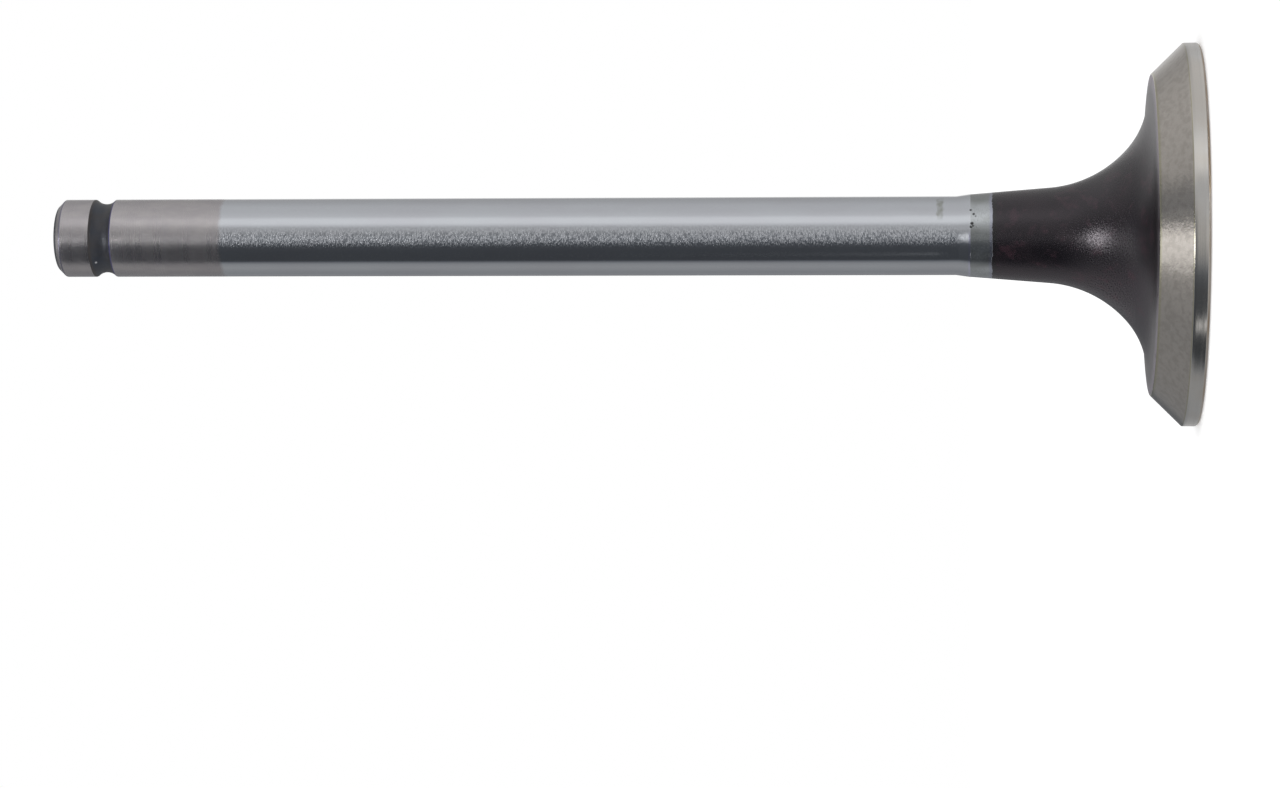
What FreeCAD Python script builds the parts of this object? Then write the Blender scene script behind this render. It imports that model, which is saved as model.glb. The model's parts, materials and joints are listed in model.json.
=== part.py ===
import FreeCAD, Part
import math
import os

# Engine poppet valve, forged and turned from one piece of steel.
# All sizes are in millimetres and all angles in degrees.
# The turned ring of the head's face lies on z = 0, and the stem rises along +Z to its tip.

# The whole valve
overall_length = 115.9
head_dia = 38.36
stem_dia = 7.92

# The face of the head: a turned ring around a shallow dish left as forged
face_dish_dia = 21.8
face_dish_depth = 0.55
face_edge_chamfer = 0.25

# The rim of the head, from the face up: the upright margin, the ground seat and the back cone.
# The seat and the cone lean from the plane of the face, and their widths are measured along them.
margin_height = 1.33
seat_angle = 45.5
seat_width = 4.38
back_cone_angle = 5.3
back_cone_width = 2.65

# The tulip: two tangent arcs from the back cone to the neck.
# They change over where the outline leans this far from the axis, and the ratio is lower over upper radius.
tulip_change_angle = 48.2
tulip_radius_ratio = 0.741

# The tapered neck, and the short blend from its top down to the stem's own size
neck_taper_angle = 4.6
neck_length = 8.07
neck_swell = 0.19
neck_blend_height = 1.3

# The tip: its edge chamfer, and the round-bottomed groove that the spring keepers clamp in
tip_chamfer = 0.70
groove_from_tip = 3.78
groove_width = 2.14
groove_depth = 0.46

parts_folder = "parts"
node_name = "valve"


def point(radius, height):
    """A point of the meridian, at this radius from the axis and this height above the face."""
    return FreeCAD.Vector(radius, 0, height)


def line(start, end):
    """A straight stretch of the meridian."""
    return Part.LineSegment(start, end).toShape()


def arc(start, middle, end):
    """A round stretch of the meridian through three points."""
    return Part.Arc(start, middle, end).toShape()


def along(start, lean, distance):
    """The point reached by going up from start for this distance, leaning in from the axis by lean."""
    inward = distance * math.sin(math.radians(lean))
    upward = distance * math.cos(math.radians(lean))
    return point(start.x - inward, start.z + upward)


def fillet_point(start, start_lean, radius, lean):
    """The point of a hollow fillet, begun at start with start_lean, where the outline leans by lean."""
    first = math.radians(start_lean)
    now = math.radians(lean)
    inward = radius * (math.cos(now) - math.cos(first))
    upward = radius * (math.sin(first) - math.sin(now))
    return point(start.x - inward, start.z + upward)


def fillet(start, start_lean, radius, end_lean):
    """The edge of a hollow fillet from one lean to another, and the point where it ends."""
    middle = fillet_point(start, start_lean, radius, (start_lean + end_lean) / 2)
    end = fillet_point(start, start_lean, radius, end_lean)
    return arc(start, middle, end), end


def rim_edges(ring_inner):
    """The turned ring, edge chamfer, margin, seat and back cone, and the point where the cone ends."""
    head_radius = head_dia / 2
    ring_outer = point(head_radius - face_edge_chamfer, 0)
    margin_foot = point(head_radius, face_edge_chamfer)
    margin_top = along(margin_foot, 0, margin_height)
    seat_top = along(margin_top, 90 - seat_angle, seat_width)
    cone_end = along(seat_top, 90 - back_cone_angle, back_cone_width)
    corners = [ring_inner, ring_outer, margin_foot, margin_top, seat_top, cone_end]
    edges = [line(start, end) for start, end in zip(corners, corners[1:])]
    return edges, cone_end


def tulip_edges(cone_end, neck_foot_radius):
    """The two tangent arcs of the tulip, and the point where they meet the neck.

    The upper radius is the one that brings the pair in to the foot of the neck.
    """
    cone_lean = 90 - back_cone_angle
    lower_reach = math.cos(math.radians(tulip_change_angle)) - math.cos(math.radians(cone_lean))
    upper_reach = math.cos(math.radians(neck_taper_angle)) - math.cos(math.radians(tulip_change_angle))
    reach = tulip_radius_ratio * lower_reach + upper_reach
    upper_radius = (cone_end.x - neck_foot_radius) / reach
    lower_radius = tulip_radius_ratio * upper_radius
    lower_arc, change = fillet(cone_end, cone_lean, lower_radius, tulip_change_angle)
    upper_arc, neck_foot = fillet(change, tulip_change_angle, upper_radius, neck_taper_angle)
    print("tulip radii:", round(lower_radius, 2), round(upper_radius, 2))
    return [lower_arc, upper_arc], neck_foot


def groove_edge(groove_foot, groove_top):
    """The round bottom of the keeper groove, between its two edges on the stem."""
    bottom = point(groove_foot.x - groove_depth, (groove_foot.z + groove_top.z) / 2)
    return arc(groove_foot, bottom, groove_top)


def stem_edges(neck_foot):
    """The neck, its blend, the stem with the keeper groove, and the chamfered tip up to the axis."""
    stem_radius = stem_dia / 2
    neck_top = point(stem_radius + neck_swell, neck_foot.z + neck_length)
    stem_foot = point(stem_radius, neck_top.z + neck_blend_height)
    groove_top = point(stem_radius, overall_length - groove_from_tip)
    groove_foot = point(stem_radius, groove_top.z - groove_width)
    chamfer_foot = point(stem_radius, overall_length - tip_chamfer)
    tip_edge = point(stem_radius - tip_chamfer, overall_length)
    tip_centre = point(0, overall_length)
    print("neck top above the face:", round(neck_top.z, 2))
    print("stem above the face, from and to:", round(stem_foot.z, 2), round(groove_foot.z, 2))
    edges = [
        line(neck_foot, neck_top),
        line(neck_top, stem_foot),
        line(stem_foot, groove_foot),
        groove_edge(groove_foot, groove_top),
        line(groove_top, chamfer_foot),
        line(chamfer_foot, tip_edge),
        line(tip_edge, tip_centre),
    ]
    return edges, tip_centre


def dish_edge(ring_inner):
    """The shallow round dish in the face, level where it meets the axis, and its centre."""
    rim = face_dish_dia / 2
    dish_radius = (rim**2 + face_dish_depth**2) / (2 * face_dish_depth)
    half_way = math.asin(rim / dish_radius) / 2
    drop = dish_radius * (1 - math.cos(half_way))
    middle = point(dish_radius * math.sin(half_way), face_dish_depth - drop)
    centre = point(0, face_dish_depth)
    return arc(centre, middle, ring_inner), centre


def make_valve():
    """The valve as one solid, turned about the axis from its closed meridian."""
    neck_foot_radius = stem_dia / 2 + neck_swell + neck_length * math.tan(math.radians(neck_taper_angle))
    ring_inner = point(face_dish_dia / 2, 0)
    dish, dish_centre = dish_edge(ring_inner)
    rim, cone_end = rim_edges(ring_inner)
    tulip, neck_foot = tulip_edges(cone_end, neck_foot_radius)
    stem, tip_centre = stem_edges(neck_foot)
    meridian = Part.Wire([dish] + rim + tulip + stem + [line(tip_centre, dish_centre)])
    return Part.Face(meridian).revolve(point(0, 0), FreeCAD.Vector(0, 0, 1), 360)


os.makedirs(parts_folder, exist_ok=True)
valve = make_valve()
valve.exportStep(os.path.join(parts_folder, node_name + ".step"))
print(node_name, valve.ShapeType, "valid:", valve.isValid(), "volume:", round(valve.Volume, 1))
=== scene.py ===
"""Engine valve: the camera, the light and the finished model, built round the CAD frame.

Lengths are in metres, in the frame of the CAD model. The face of the head lies on z = 0 and the stem
rises along +Z. The photograph's camera stands on the -Y side with +X at the top of its picture.
"""

import json
import logging
import math
from collections.abc import Sequence
from dataclasses import dataclass, field
from enum import Enum

import bpy
from mathutils import Matrix, Vector

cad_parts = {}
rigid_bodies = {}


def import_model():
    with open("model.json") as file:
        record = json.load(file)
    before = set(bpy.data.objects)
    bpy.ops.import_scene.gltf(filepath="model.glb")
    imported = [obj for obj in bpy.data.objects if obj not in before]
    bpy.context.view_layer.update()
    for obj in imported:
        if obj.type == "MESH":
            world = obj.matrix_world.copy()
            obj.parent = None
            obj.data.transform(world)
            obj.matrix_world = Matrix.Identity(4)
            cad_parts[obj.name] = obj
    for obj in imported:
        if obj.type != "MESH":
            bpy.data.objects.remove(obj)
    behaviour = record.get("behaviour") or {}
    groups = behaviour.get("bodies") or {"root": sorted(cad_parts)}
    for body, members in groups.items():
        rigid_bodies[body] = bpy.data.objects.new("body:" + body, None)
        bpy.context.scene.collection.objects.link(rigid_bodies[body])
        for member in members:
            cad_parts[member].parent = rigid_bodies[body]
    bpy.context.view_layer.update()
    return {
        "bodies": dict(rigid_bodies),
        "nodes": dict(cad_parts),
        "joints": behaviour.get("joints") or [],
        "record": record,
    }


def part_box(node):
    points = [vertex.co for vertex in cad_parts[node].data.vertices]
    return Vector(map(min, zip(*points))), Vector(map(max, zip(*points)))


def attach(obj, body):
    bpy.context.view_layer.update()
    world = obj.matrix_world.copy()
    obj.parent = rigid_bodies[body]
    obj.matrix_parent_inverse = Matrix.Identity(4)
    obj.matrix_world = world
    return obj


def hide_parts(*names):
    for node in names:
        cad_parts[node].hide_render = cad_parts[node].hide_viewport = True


LOG = logging.getLogger("engine_valve")

MM = 0.001
VALVE_NODE = "valve"
FIXED_BODY = "root"

Socket = bpy.types.NodeSocket
Feed = Socket | float | tuple
Stop = tuple[float, float]
Triple = tuple[float, float, float]
Quad = tuple[float, float, float, float]
Colour = Triple

EVEN: Triple = (1.0, 1.0, 1.0)
WHITE: Colour = (1.0, 1.0, 1.0)


class Zone(Enum):
    """The zones of the valve that have a finish of their own, in the order of its material slots."""

    STEM = 0
    TULIP = 1
    GROOVE = 2
    TIP = 3
    SEAT = 4
    RIM = 5
    FACE = 6


class Bench:
    """A node tree, with short calls for the nodes that the finishes are wired up from."""

    def __init__(self, tree: bpy.types.NodeTree) -> None:
        """Take a node tree to work on.

        Args:
            tree: The tree of a material or a node group.
        """
        self.tree = tree

    def node(self, kind: str, **settings: object) -> bpy.types.Node:
        """Add a node.

        Args:
            kind: The node's type name.
            **settings: Properties to set on it.

        Returns:
            The new node.
        """
        made = self.tree.nodes.new(kind)
        for name, value in settings.items():
            setattr(made, name, value)
        return made

    def feed(self, socket: Socket, value: Feed) -> None:
        """Set an input, or link it.

        Args:
            socket: The input to feed.
            value: A number, a colour, a vector or another node's output.
        """
        if isinstance(value, bpy.types.NodeSocket):
            self.tree.links.new(value, socket)
        elif socket.type == "RGBA":
            socket.default_value = (*value, 1.0)
        else:
            socket.default_value = value

    def wire(self, kind: str, fed: dict[int | str, Feed], **settings: object) -> bpy.types.Node:
        """Add a node and feed its inputs.

        Args:
            kind: The node's type name.
            fed: What its inputs are fed, by their number or name.
            **settings: Properties to set on it.

        Returns:
            The new node.
        """
        made = self.node(kind, **settings)
        for name, value in fed.items():
            self.feed(made.inputs[name], value)
        return made

    def math(self, operation: str, *values: Feed, clamp: bool = False) -> Socket:
        """Add a Math node.

        Args:
            operation: The operation's name.
            *values: Its one to three inputs.
            clamp: Whether the result is kept between 0 and 1.

        Returns:
            The result.
        """
        fed = dict(enumerate(values))
        return self.wire("ShaderNodeMath", fed, operation=operation, use_clamp=clamp).outputs[0]

    def times(self, first: Feed, second: Feed) -> Socket:
        """Multiply two numbers."""
        return self.math("MULTIPLY", first, second)

    def most(self, first: Feed, second: Feed) -> Socket:
        """Take the larger of two numbers."""
        return self.math("MAXIMUM", first, second)

    def vector(self, operation: str, *values: Feed, scalar: bool = False) -> Socket:
        """Add a Vector Math node.

        Args:
            operation: The operation's name.
            *values: Its vector inputs.
            scalar: Whether the number that the operation gives is wanted, and not the vector.

        Returns:
            The result.
        """
        made = self.wire("ShaderNodeVectorMath", dict(enumerate(values)), operation=operation)
        return made.outputs["Value" if scalar else "Vector"]

    def scale(self, vector: Socket, amount: Socket) -> Socket:
        """Multiply a vector by a number."""
        made = self.wire("ShaderNodeVectorMath", {0: vector, "Scale": amount}, operation="SCALE")
        return made.outputs["Vector"]

    def step(self, value: Feed, start: Feed, end: Feed, low: Feed = 0.0, high: Feed = 1.0) -> Socket:
        """Add a smooth step from one value to another.

        Args:
            value: The number that the step is taken over.
            start: Where the step begins.
            end: Where it ends, which may be below its start.
            low: The result before the start.
            high: The result past the end.

        Returns:
            The result.
        """
        fed = {"Value": value, "From Min": start, "From Max": end, "To Min": low, "To Max": high}
        return self.wire("ShaderNodeMapRange", fed, interpolation_type="SMOOTHSTEP").outputs["Result"]

    def band(self, value: Feed, ends: Quad) -> Socket:
        """Add a band that rises and falls in smooth steps.

        Args:
            value: The number that it is taken over, in metres.
            ends: Where it starts to rise, is full, starts to fall and is over, in millimetres.

        Returns:
            The result, from 0 to 1.
        """
        rise, full, fall, over = (end * MM for end in ends)
        return self.times(self.step(value, rise, full), self.step(value, over, fall))

    def noise(self, place: Socket, scale: Feed, detail: float = 2.0, roughness: float = 0.5) -> Socket:
        """Add a noise between 0 and 1.

        Args:
            place: The coordinates it is read at.
            scale: Its scale.
            detail: How many finer layers it has.
            roughness: How strong the finer layers are.

        Returns:
            The noise.
        """
        fed = {"Vector": place, "Scale": scale, "Detail": detail, "Roughness": roughness}
        return self.wire("ShaderNodeTexNoise", fed, noise_dimensions="3D").outputs["Fac"]

    def mix(self, share: Feed, first: Feed, second: Feed) -> Socket:
        """Mix two numbers.

        Args:
            share: How much of the second there is.
            first: The number at a share of 0.
            second: The number at a share of 1.

        Returns:
            The mixed number.
        """
        return self.wire("ShaderNodeMix", {0: share, 2: first, 3: second}, data_type="FLOAT").outputs[0]

    def blend(self, share: Feed, first: Feed, second: Feed) -> Socket:
        """Mix two colours.

        Args:
            share: How much of the second there is.
            first: The colour at a share of 0, of three numbers, or an output.
            second: The colour at a share of 1.

        Returns:
            The mixed colour.
        """
        return self.wire("ShaderNodeMix", {0: share, 6: first, 7: second}, data_type="RGBA").outputs[2]

    def ramp(self, place: Feed, stops: Sequence[Stop]) -> Socket:
        """Add a ramp of grey levels.

        Args:
            place: Where the ramp is read, from 0 to 1.
            stops: Pairs of place and grey level, in order.

        Returns:
            The grey level.
        """
        made = self.wire("ShaderNodeValToRGB", {"Fac": place})
        stripe = made.color_ramp
        while len(stripe.elements) < len(stops):
            stripe.elements.new(1.0)
        for element, (position, level) in zip(stripe.elements, stops):
            element.position = position
            element.color = (level, level, level, 1.0)
        return made.outputs["Color"]

    def split(self, place: Socket) -> tuple[Socket, Socket, Socket]:
        """Take a vector apart into its three numbers."""
        made = self.wire("ShaderNodeSeparateXYZ", {0: place})
        return made.outputs[0], made.outputs[1], made.outputs[2]

    def join(self, *values: Feed) -> Socket:
        """Put a vector together from its three numbers."""
        return self.wire("ShaderNodeCombineXYZ", dict(enumerate(values))).outputs[0]

    def place(self, group: bpy.types.NodeTree, **values: Feed) -> bpy.types.Node:
        """Place a node group, and feed its inputs by name."""
        return self.wire("ShaderNodeGroup", values, node_tree=group)


def start_group(
        name: str, inputs: dict[str, str],
        outputs: Sequence[str] = ("Mask",)) -> tuple[Bench, dict[str, Socket]]:
    """Start a node group with named sockets.

    Args:
        name: The group's name.
        inputs: The names of its inputs in one string, by their kind, "Float", "Vector" or "Color".
        outputs: The names of its outputs. One that is called Color is a colour, and the rest are numbers.

    Returns:
        The bench of the group's tree, and the inputs to read inside it, by name.
    """
    tree = bpy.data.node_groups.new(name, "ShaderNodeTree")
    labels = []
    for kind, names in inputs.items():
        for label in names.split():
            tree.interface.new_socket(name=label, in_out="INPUT", socket_type="NodeSocket" + kind)
            labels.append(label)
    for label in outputs:
        kind = "Color" if label == "Color" else "Float"
        tree.interface.new_socket(name=label, in_out="OUTPUT", socket_type="NodeSocket" + kind)
    bench = Bench(tree)
    entry = bench.node("NodeGroupInput")
    return bench, {label: entry.outputs[label] for label in labels}


def end_group(bench: Bench, **values: Socket) -> bpy.types.NodeTree:
    """Wire up what a node group puts out.

    Args:
        bench: The bench of the group's tree.
        **values: What each output is fed, by name.

    Returns:
        The finished group.
    """
    bench.wire("NodeGroupOutput", values)
    return bench.tree


class Effects:
    """The node groups of the effects that more than one finish uses, built once."""

    def __init__(self) -> None:
        """Build every group."""
        self.border = self.make_border()
        self.grain = self.make_grain()
        self.cloud = self.make_cloud()
        self.stroke = self.make_stroke()
        self.spot = self.make_spot()
        self.lathe_marks = self.make_lathe_marks()

    def make_border(self) -> bpy.types.NodeTree:
        """A ragged border between two finishes.

        Returns:
            The group. Its Mask is 0 below the edge and 1 above it.
        """
        bench, fed = start_group(
            "ragged_border", {"Vector": "Place", "Float": "Level Edge Wander Tooth Softness Scale"})
        slow = bench.noise(fed["Place"], bench.times(fed["Scale"], 0.22), detail=1.0)
        fast = bench.noise(fed["Place"], fed["Scale"], detail=3.0, roughness=0.65)
        drift = bench.times(bench.math("SUBTRACT", slow, 0.5), fed["Wander"])
        teeth = bench.times(bench.math("SUBTRACT", fast, 0.5), fed["Tooth"])
        edge = bench.math("ADD", fed["Edge"], bench.math("ADD", drift, teeth))
        start = bench.math("SUBTRACT", edge, fed["Softness"])
        end = bench.math("ADD", edge, fed["Softness"])
        return end_group(bench, Mask=bench.step(fed["Level"], start, end))

    def make_grain(self) -> bpy.types.NodeTree:
        """Stretched grain, as grinding or plating leaves it.

        Returns:
            The group. Its Height is between 0 and 1.
        """
        bench, fed = start_group(
            "surface_grain", {"Vector": "Place Stretch", "Float": "Scale Sharpness"}, ("Height",))
        drawn = bench.vector("MULTIPLY", fed["Place"], fed["Stretch"])
        rough = bench.noise(drawn, fed["Scale"], detail=3.0, roughness=0.6)
        half = bench.math("DIVIDE", 0.5, fed["Sharpness"])
        height = bench.step(rough, bench.math("SUBTRACT", 0.5, half), bench.math("ADD", 0.5, half))
        return end_group(bench, Height=height)

    def make_cloud(self) -> bpy.types.NodeTree:
        """Soft blotches that tint a colour.

        Returns:
            The group. Its Color is the base colour, tinted.
        """
        inputs = {"Vector": "Place Stretch", "Float": "Scale Amount", "Color": "Base Tint"}
        bench, fed = start_group("soft_blotches", inputs, ("Color",))
        drawn = bench.vector("MULTIPLY", fed["Place"], fed["Stretch"])
        wide = bench.noise(drawn, fed["Scale"], detail=3.0, roughness=0.55)
        share = bench.times(bench.step(wide, 0.38, 0.66), fed["Amount"])
        return end_group(bench, Color=bench.blend(share, fed["Base"], fed["Tint"]))

    def make_stroke(self) -> bpy.types.NodeTree:
        """A thin, slightly crooked line from one point to another, as a stain or scratch leaves it.

        Returns:
            The group. Its Mask is 1 on the line.
        """
        bench, fed = start_group("hairline_stroke", {"Vector": "Place Start End", "Float": "Width Wander"})
        drawn = {"Vector": fed["Place"], "Scale": 900.0, "Detail": 2.0}
        shake = bench.wire("ShaderNodeTexNoise", drawn, noise_dimensions="3D").outputs["Color"]
        centred = bench.vector("SUBTRACT", shake, (0.5, 0.5, 0.5))
        place = bench.vector("ADD", fed["Place"], bench.scale(centred, fed["Wander"]))
        from_start = bench.vector("SUBTRACT", place, fed["Start"])
        whole = bench.vector("SUBTRACT", fed["End"], fed["Start"])
        along = bench.vector("DOT_PRODUCT", from_start, whole, scalar=True)
        length = bench.vector("DOT_PRODUCT", whole, whole, scalar=True)
        nearest = bench.scale(whole, bench.math("DIVIDE", along, length, clamp=True))
        off = bench.vector("LENGTH", bench.vector("SUBTRACT", from_start, nearest), scalar=True)
        return end_group(bench, Mask=bench.step(off, fed["Width"], bench.times(fed["Width"], 0.3)))

    def make_spot(self) -> bpy.types.NodeTree:
        """A soft spot at one place.

        Returns:
            The group. Its Mask is 1 at the middle of the spot.
        """
        bench, fed = start_group("soft_spot", {"Vector": "Place Centre Stretch", "Float": "Radius"})
        off = bench.vector("MULTIPLY", bench.vector("SUBTRACT", fed["Place"], fed["Centre"]), fed["Stretch"])
        far = bench.vector("LENGTH", off, scalar=True)
        return end_group(bench, Mask=bench.step(far, fed["Radius"], bench.times(fed["Radius"], 0.35)))

    def make_lathe_marks(self) -> bpy.types.NodeTree:
        """Concentric or level marks of a turning tool or a grinding wheel.

        Returns:
            The group. Its Height and its broader Streak are between 0 and 1 and run along the level.
        """
        bench, fed = start_group(
            "lathe_marks", {"Vector": "Place", "Float": "Level Pitch"}, ("Height", "Streak"))
        line = bench.join(bench.math("DIVIDE", fed["Level"], fed["Pitch"]), 0.37, 0.61)
        fine = bench.noise(line, 1.0, detail=2.0, roughness=0.7)
        broad = bench.noise(line, 0.12, detail=2.0, roughness=0.5)
        fade = bench.noise(fed["Place"], 160.0, detail=1.0)
        cut = bench.times(fine, bench.step(fade, 0.35, 0.7, 0.45, 1.0))
        return end_group(bench, Height=cut, Streak=bench.step(broad, 0.35, 0.68))


@dataclass(frozen=True)
class Surroundings:
    """What a finish starts from: its material and shader, its place on the valve and the shared effects."""

    material: bpy.types.Material
    bench: Bench
    shader: bpy.types.Node
    spot: Socket
    across: Socket
    height: Socket
    effects: Effects

    @staticmethod
    def start(name: str, effects: Effects) -> "Surroundings":
        """Start a material.

        Args:
            name: The finish's name.
            effects: The shared effects.

        Returns:
            The material with its shader and coordinates.
        """
        material = bpy.data.materials.new(name)
        material.use_nodes = True
        bench = Bench(material.node_tree)
        shader = material.node_tree.nodes["Principled BSDF"]
        place = bench.node("ShaderNodeTexCoord").outputs["Object"]
        east, north, height = bench.split(place)
        across = bench.vector("LENGTH", bench.join(east, north, 0.0), scalar=True)
        return Surroundings(material, bench, shader, place, across, height, effects)

    def grain(self, scale: float, sharpness: float, stretch: Triple = EVEN) -> Socket:
        """Lay grain over the surface.

        Args:
            scale: Its scale.
            sharpness: How hard its edges are.
            stretch: How closely it is packed along each axis.

        Returns:
            Its height, between 0 and 1.
        """
        return self.bench.place(
            self.effects.grain, Place=self.spot, Stretch=stretch, Scale=scale,
            Sharpness=sharpness).outputs["Height"]

    def cloud(
            self, scale: float, base: Colour, tint: Colour, amount: float, stretch: Triple = EVEN) -> Socket:
        """Tint a colour in soft blotches.

        Args:
            scale: Their scale.
            base: The colour between them.
            tint: Their own colour.
            amount: How strong they are.
            stretch: How closely they are packed along each axis.

        Returns:
            The colour.
        """
        return self.bench.place(
            self.effects.cloud, Place=self.spot, Stretch=stretch, Scale=scale, Base=base, Tint=tint,
            Amount=amount).outputs["Color"]

    def dot(self, centre: Triple, radius: float, stretch: Triple = EVEN) -> Socket:
        """Put a soft spot at one place.

        Args:
            centre: The place, in metres.
            radius: Its radius, in metres.
            stretch: How far it is squeezed along each axis.

        Returns:
            Its mask.
        """
        return self.bench.place(
            self.effects.spot, Place=self.spot, Centre=centre, Stretch=stretch, Radius=radius).outputs["Mask"]

    def lathe(self, level: Socket, pitch: float) -> tuple[Socket, Socket]:
        """Cut the marks of a turning tool.

        Args:
            level: The number that they run across.
            pitch: The distance between them.

        Returns:
            Their height, and how rough their broad streaks are.
        """
        marks = self.bench.place(self.effects.lathe_marks, Place=self.spot, Level=level, Pitch=pitch)
        return marks.outputs["Height"], marks.outputs["Streak"]

    def border(
            self, level: Socket, edge: float, ragged: Triple, scale: float,
            place: Socket | None = None) -> Socket:
        """Draw a ragged border.

        Args:
            level: The number that it is crossed along.
            edge: Where it lies on that number, in metres.
            ragged: How far it drifts, how far its teeth reach and half its soft width, in millimetres.
            scale: The scale of its teeth.
            place: The coordinates that its teeth are read at, if not the surface's own.

        Returns:
            The mask of what lies past it.
        """
        wander, tooth, softness = ragged
        return self.bench.place(
            self.effects.border, Place=place or self.spot, Level=level, Edge=edge, Wander=wander * MM,
            Tooth=tooth * MM, Softness=softness * MM, Scale=scale).outputs["Mask"]

    def bump(self, height: Feed, distance: float, under: Socket | None = None) -> Socket:
        """Raise the surface by a height.

        Args:
            height: The height, between 0 and 1.
            distance: How far a height of 1 stands up, in metres.
            under: The normal that it is laid over.

        Returns:
            The bumped normal.
        """
        fed = {"Strength": 1.0, "Distance": distance, "Height": height}
        if under is not None:
            fed["Normal"] = under
        return self.bench.wire("ShaderNodeBump", fed).outputs["Normal"]

    def brush(self, amount: float) -> None:
        """Spread reflections across the marks that turning and grinding leave round the axis.

        Args:
            amount: How strongly, from 0 to 1.
        """
        self.shader.inputs["Anisotropic"].default_value = amount
        self.shader.inputs["Anisotropic Rotation"].default_value = 0.25
        around = self.bench.node("ShaderNodeTangent", direction_type="RADIAL", axis="Z")
        self.bench.feed(self.shader.inputs["Tangent"], around.outputs["Tangent"])

    def finish(
            self, colour: Socket, metallic: Feed, roughness: Socket, normal: Socket) -> bpy.types.Material:
        """Feed the shader.

        Args:
            colour: The base colour.
            metallic: How much of a metal it is.
            roughness: The roughness.
            normal: The bumped normal.

        Returns:
            The material.
        """
        fed = {"Base Color": colour, "Metallic": metallic, "Roughness": roughness, "Normal": normal}
        for name, value in fed.items():
            self.bench.feed(self.shader.inputs[name], value)
        return self.material


@dataclass(frozen=True)
class TulipFinish:
    """The neck and the tulip: forged, and blackened by heat, with paler steel at the edge of the seat."""

    black: Colour = (0.0034, 0.0020, 0.0046)
    black_brown: Colour = (0.0086, 0.0046, 0.0074)
    # A lighter black: painted light on the tulip's -X side, and mixed in a little toward the rim
    lit_flank: Colour = (0.0260, 0.0200, 0.0250)
    rust: Colour = (0.040, 0.014, 0.022)
    pale: Colour = (0.27, 0.258, 0.287)
    pale_share: float = 0.77
    pale_edge: float = 15.1 * MM
    sheen: Colour = (1.0, 0.93, 1.0)
    gloss: float = 0.62
    smoothest: float = 0.225
    roughest: float = 0.315
    cone_roughness: float = 0.35
    grain_depth: float = 10.5e-6

    def burnt(self, kit: Surroundings) -> tuple[Socket, Socket, Socket]:
        """The blackened skin, which the stem's finish also ends in, with painted light on its -X side.

        Args:
            kit: The material's parts.

        Returns:
            Its colour, its roughness and the height of its grain.
        """
        bench = kit.bench
        grain = kit.grain(5200.0, 1.5)
        tone = kit.cloud(330.0, self.black, self.black_brown, 0.9)
        east, _, _ = bench.split(kit.spot)
        # Painted light: the -X side of the tulip is made lighter
        lit_flank = bench.times(bench.step(east, -2.0 * MM, -5.5 * MM), 0.9)
        outward = bench.times(bench.step(kit.across, 9.0 * MM, 12.5 * MM), 0.36)
        tone = bench.blend(bench.most(lit_flank, outward), tone, self.lit_flank)
        kit.shader.inputs["Specular IOR Level"].default_value = self.gloss
        return tone, bench.mix(grain, self.smoothest, self.roughest), grain

    def dress(self, effects: Effects) -> bpy.types.Material:
        """Make the tulip's material.

        Args:
            effects: The shared effects.

        Returns:
            The material.
        """
        kit = Surroundings.start("tulip_finish", effects)
        bench = kit.bench
        tone, roughness, grain = self.burnt(kit)
        pale = kit.border(kit.across, self.pale_edge, (0.8, 0.4, 0.8), 900.0)
        pale = bench.times(pale, self.pale_share)
        colour = bench.blend(pale, tone, self.pale)
        rust = bench.step(bench.noise(kit.spot, 620.0, detail=3.0, roughness=0.65), 0.52, 0.70)
        colour = bench.blend(bench.times(rust, 0.5), colour, self.rust)
        roughness = bench.mix(bench.step(kit.across, 8.0 * MM, 12.0 * MM), roughness, self.cone_roughness)
        normal = kit.bump(grain, self.grain_depth)
        kit.shader.inputs["Specular Tint"].default_value = (*self.sheen, 1.0)
        return kit.finish(colour, pale, roughness, normal)


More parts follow.
